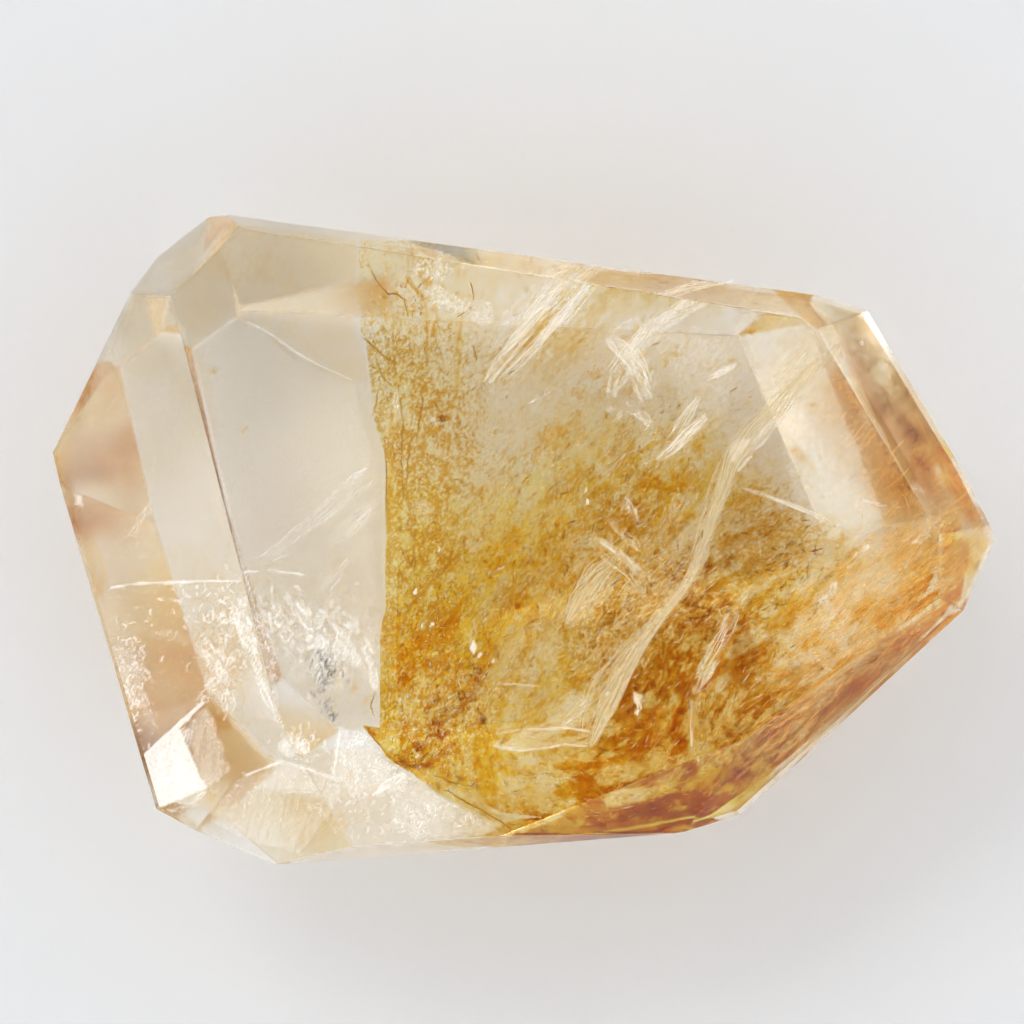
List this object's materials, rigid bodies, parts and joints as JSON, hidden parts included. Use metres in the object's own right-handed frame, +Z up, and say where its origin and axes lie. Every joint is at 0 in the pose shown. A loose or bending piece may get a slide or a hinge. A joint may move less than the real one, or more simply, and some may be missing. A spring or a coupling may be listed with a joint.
{
  "type": "clear quartz freeform",
  "caption": "A hand-sized polished rock crystal with flat facets, clear at the blunt end and clouded with golden iron-oxide inclusions towards the pointed end; it lies on a flat polished face.",
  "frame": {"origin": "middle of the outline seen from above, on the plane of the rest face", "axes": "+X along the length towards the pointed golden end, +Y across towards the long straight top edge in the plan view, +Z up through the large table facet"},
  "size_m": [0.089, 0.0606, 0.033],
  "materials": {
    "quartz": "polished"
  },
  "bodies": {
    "root": {"quartz_freeform": "quartz"}
  },
  "joints": []
}
